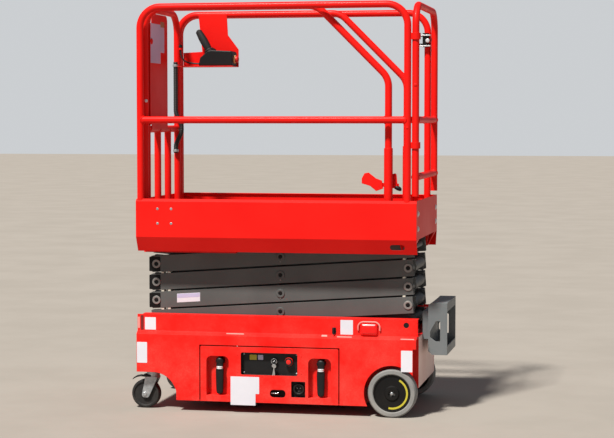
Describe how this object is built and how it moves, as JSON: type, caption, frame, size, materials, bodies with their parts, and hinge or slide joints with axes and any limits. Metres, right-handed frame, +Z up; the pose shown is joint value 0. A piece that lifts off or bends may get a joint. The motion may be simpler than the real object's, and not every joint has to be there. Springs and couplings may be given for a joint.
{
  "type": "scissor lift",
  "caption": "Small self-propelled scissor lift, stored lowered: wheeled base, folded arm stack, railed deck with slide-out extension, swing gate and drawers.",
  "frame": {"origin": "on the ground under the middle of the whole machine's box", "axes": "+X towards the end with the entry step, +Y towards the side away from the ground controls, +Z up"},
  "size_m": [1.5285, 0.76, 1.96],
  "materials": {
    "red_paint": "gloss",
    "dark_paint": "satin",
    "grey_paint": "satin",
    "tyre_grey": "matte",
    "hub_black": "satin",
    "zinc": "satin",
    "black_rubber": "matte",
    "black_plastic": "matte",
    "red_lens": "gloss",
    "nylon": "satin",
    "battery_case": "satin",
    "hydraulic_steel": "satin",
    "chrome_rod": "polished",
    "cable_black": "matte"
  },
  "bodies": {
    "base": {"side_plate_near": "red_paint", "side_plate_far": "red_paint", "base_floor": "red_paint", "belly_plate": "red_paint", "caster_bay": "red_paint", "bay_end": "red_paint", "wheel_wells": "red_paint", "entry_end_plate": "red_paint", "base_tracks": "red_paint", "base_pivot": "dark_paint", "drive_motors": "hydraulic_steel", "caster_head_near": "zinc", "caster_head_far": "zinc", "side_lamps": "red_lens", "entry_step": "grey_paint", "ram_mount": "grey_paint"},
    "drive_wheel_near": {"drive_tyre_near": "tyre_grey", "drive_hub_near": "hub_black"},
    "drive_wheel_far": {"drive_tyre_far": "tyre_grey", "drive_hub_far": "hub_black"},
    "caster_near": {"caster_fork_near": "zinc"},
    "caster_far": {"caster_fork_far": "zinc"},
    "caster_wheel_near": {"caster_wheel_near": "black_rubber"},
    "caster_wheel_far": {"caster_wheel_far": "black_rubber"},
    "drawer_near": {"drawer_near": "red_paint", "latches_near": "black_plastic", "pump_unit": "hydraulic_steel", "ground_controls": "black_plastic"},
    "drawer_far": {"drawer_far": "red_paint", "latches_far": "black_plastic", "batteries": "battery_case"},
    "ram_tube": {"ram_tube": "hydraulic_steel"},
    "ram_rod": {"ram_rod": "chrome_rod"},
    "inner_1": {"inner_arms_1": "dark_paint"},
    "outer_1": {"outer_arms_1": "dark_paint", "base_rollers": "nylon"},
    "inner_2": {"inner_arms_2": "dark_paint"},
    "outer_2": {"outer_arms_2": "dark_paint"},
    "inner_3": {"inner_arms_3": "dark_paint"},
    "outer_3": {"outer_arms_3": "dark_paint"},
    "inner_4": {"inner_arms_4": "dark_paint", "deck_rollers": "nylon"},
    "outer_4": {"outer_arms_4": "dark_paint"},
    "deck": {"deck_shell": "red_paint", "deck_tracks": "red_paint", "deck_pivot": "red_paint", "outer_rail_near": "red_paint", "outer_rail_far": "red_paint", "gate_hinges": "red_paint", "gate_latch": "zinc"},
    "extension": {"extension_floor": "red_paint", "cage_near": "red_paint", "cage_far": "red_paint", "cage_front": "red_paint", "conduit": "cable_black", "notice_panel": "red_paint", "control_bracket": "red_paint", "control_box": "black_plastic", "control_cord": "cable_black"},
    "gate": {"gate": "red_paint"}
  },
  "joints": [
    {"name": "lift", "type": "hinge", "parent": "base", "child": "inner_1", "pos_m": [0.583, 0, 0.431], "axis": [0, 1, 0], "range_deg": [0, 39.3]},
    {"name": "cross_1", "type": "hinge", "parent": "inner_1", "child": "outer_1", "pos_m": [-0.03991, 0, 0.4755], "axis": [0, 1, 0], "range_deg": [-80, 0]},
    {"name": "knee_2", "type": "hinge", "parent": "outer_1", "child": "inner_2", "pos_m": [0.583, 0, 0.52], "axis": [0, 1, 0], "range_deg": [0, 80]},
    {"name": "cross_2", "type": "hinge", "parent": "inner_2", "child": "outer_2", "pos_m": [-0.03991, 0, 0.5645], "axis": [0, 1, 0], "range_deg": [-80, 0]},
    {"name": "knee_3", "type": "hinge", "parent": "outer_2", "child": "inner_3", "pos_m": [0.583, 0, 0.609], "axis": [0, 1, 0], "range_deg": [0, 80]},
    {"name": "cross_3", "type": "hinge", "parent": "inner_3", "child": "outer_3", "pos_m": [-0.03991, 0, 0.6535], "axis": [0, 1, 0], "range_deg": [-80, 0]},
    {"name": "knee_4", "type": "hinge", "parent": "outer_3", "child": "inner_4", "pos_m": [0.583, 0, 0.698], "axis": [0, 1, 0], "range_deg": [0, 80]},
    {"name": "cross_4", "type": "hinge", "parent": "inner_4", "child": "outer_4", "pos_m": [-0.03991, 0, 0.7425], "axis": [0, 1, 0], "range_deg": [-80, 0]},
    {"name": "deck_level", "type": "hinge", "parent": "outer_4", "child": "deck", "pos_m": [0.583, 0, 0.787], "axis": [0, 1, 0], "range_deg": [0, 40]},
    {"name": "ram_swing", "type": "hinge", "parent": "base", "child": "ram_tube", "pos_m": [0.44, 0, 0.17], "axis": [0, 1, 0], "range_deg": [0, 20.83]},
    {"name": "ram_stroke", "type": "slide", "parent": "ram_tube", "child": "ram_rod", "axis": [-0.4841, 0, 0.875], "range_m": [0, 0.1523]},
    {"name": "extension_slide", "type": "slide", "parent": "deck", "child": "extension", "axis": [-1, 0, 0], "range_m": [0, 0.52]},
    {"name": "gate_swing", "type": "hinge", "parent": "deck", "child": "gate", "pos_m": [0.632, -0.345, 1.403], "axis": [0, 0, -1], "range_deg": [0, 100]},
    {"name": "drawer_near_slide", "type": "slide", "parent": "base", "child": "drawer_near", "axis": [0, -1, 0], "range_m": [0, 0.26]},
    {"name": "drawer_far_slide", "type": "slide", "parent": "base", "child": "drawer_far", "axis": [0, 1, 0], "range_m": [0, 0.26]},
    {"name": "drive_spin_near", "type": "hinge", "parent": "base", "child": "drive_wheel_near", "pos_m": [0.5275, -0.337, 0.115], "axis": [0, 1, 0], "continuous": true},
    {"name": "caster_swivel_near", "type": "hinge", "parent": "base", "child": "caster_near", "pos_m": [-0.659, -0.302, 0.185], "axis": [0, 0, 1], "continuous": true},
    {"name": "caster_spin_near", "type": "hinge", "parent": "caster_near", "child": "caster_wheel_near", "pos_m": [-0.694, -0.302, 0.07], "axis": [0, 1, 0], "continuous": true},
    {"name": "drive_spin_far", "type": "hinge", "parent": "base", "child": "drive_wheel_far", "pos_m": [0.5275, 0.337, 0.115], "axis": [0, 1, 0], "continuous": true},
    {"name": "caster_swivel_far", "type": "hinge", "parent": "base", "child": "caster_far", "pos_m": [-0.659, 0.302, 0.185], "axis": [0, 0, 1], "continuous": true},
    {"name": "caster_spin_far", "type": "hinge", "parent": "caster_far", "child": "caster_wheel_far", "pos_m": [-0.694, 0.302, 0.07], "axis": [0, 1, 0], "continuous": true}
  ],
  "couplings": [
    {"joint": "cross_1", "follows": "lift", "ratio": -2},
    {"joint": "knee_2", "follows": "lift", "ratio": 2},
    {"joint": "cross_2", "follows": "lift", "ratio": -2},
    {"joint": "knee_3", "follows": "lift", "ratio": 2},
    {"joint": "cross_3", "follows": "lift", "ratio": -2},
    {"joint": "knee_4", "follows": "lift", "ratio": 2},
    {"joint": "cross_4", "follows": "lift", "ratio": -2},
    {"joint": "deck_level", "follows": "lift", "ratio": 1},
    {"joint": "ram_swing", "follows": "lift", "ratio": 0.50459},
    {"joint": "ram_stroke", "follows": "lift", "m_per_rad": 0.21919}
  ]
}
